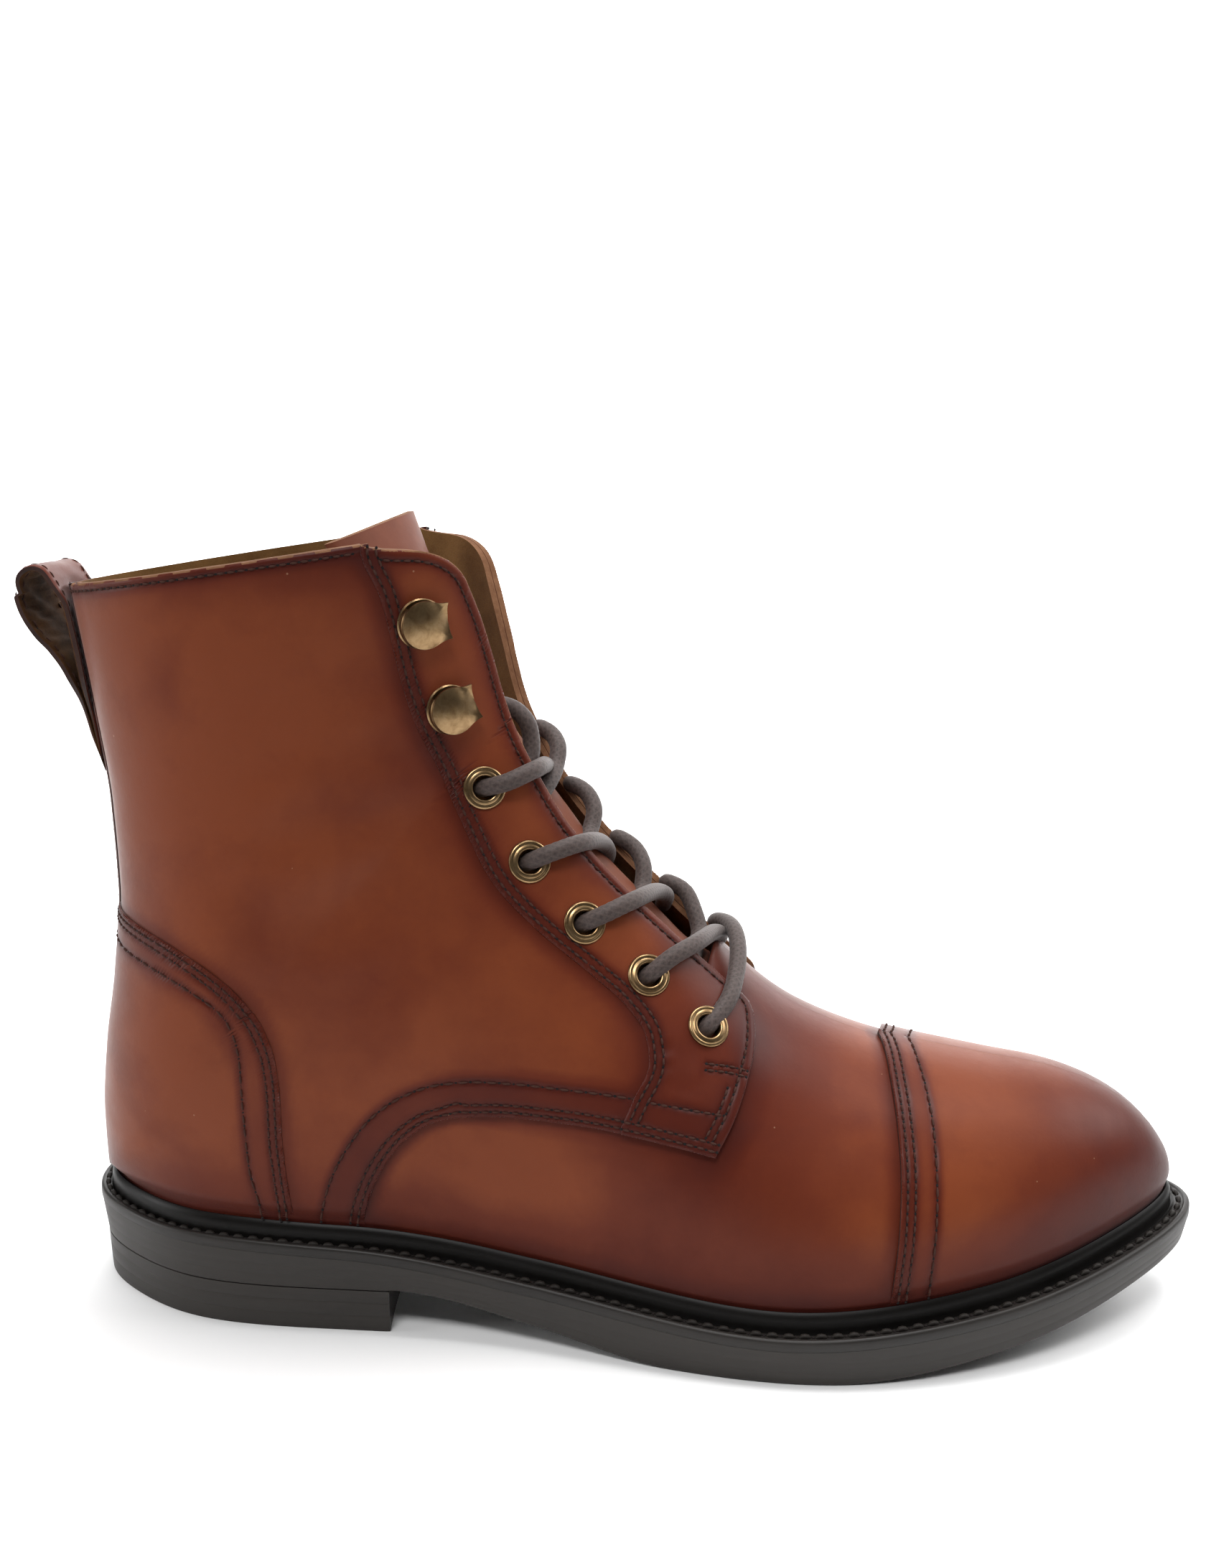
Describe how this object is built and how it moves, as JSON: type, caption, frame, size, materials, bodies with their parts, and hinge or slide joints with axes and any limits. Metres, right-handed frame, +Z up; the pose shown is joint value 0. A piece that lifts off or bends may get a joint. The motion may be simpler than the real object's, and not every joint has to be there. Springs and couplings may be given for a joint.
{
  "type": "boot",
  "caption": "Lace-up ankle boot for the right foot with a capped toe, derby facings with eyelets and speed hooks, a stitched storm welt, a rubber sole with a low heel and a pull loop.",
  "frame": {"origin": "bottom centre of the bounding box, on the floor under the boot", "axes": "+X toward the toe, +Y toward the inner side of the foot, +Z up"},
  "size_m": [0.3208, 0.1044, 0.214],
  "materials": {
    "cognac_leather": "burnished satin",
    "tongue_leather": "soft matte",
    "insole_leather": "matte",
    "sole_rubber": "matte",
    "welt_rubber": "satin",
    "antique_brass": "antique satin",
    "lace_cord": "waxed braid"
  },
  "bodies": {
    "root": {"outsole": "sole_rubber", "heel": "sole_rubber", "welt": "welt_rubber", "insole": "insole_leather", "upper": "cognac_leather", "quarter_outer": "cognac_leather", "quarter_inner": "cognac_leather", "eyestay_outer": "cognac_leather", "eyestay_inner": "cognac_leather", "heel_counter": "cognac_leather", "toe_cap": "cognac_leather", "backstay": "cognac_leather", "pull_loop": "cognac_leather", "tongue": "tongue_leather", "eyelet_outer_1": "antique_brass", "eyelet_outer_2": "antique_brass", "eyelet_outer_3": "antique_brass", "eyelet_outer_4": "antique_brass", "eyelet_outer_5": "antique_brass", "eyelet_inner_1": "antique_brass", "eyelet_inner_2": "antique_brass", "eyelet_inner_3": "antique_brass", "eyelet_inner_4": "antique_brass", "eyelet_inner_5": "antique_brass", "hook_outer_1": "antique_brass", "hook_outer_2": "antique_brass", "hook_inner_1": "antique_brass", "hook_inner_2": "antique_brass", "lace_bar": "lace_cord", "lace_cross_2": "lace_cord", "lace_cross_3": "lace_cord", "lace_cross_4": "lace_cord", "lace_cross_5": "lace_cord"}
  },
  "joints": []
}
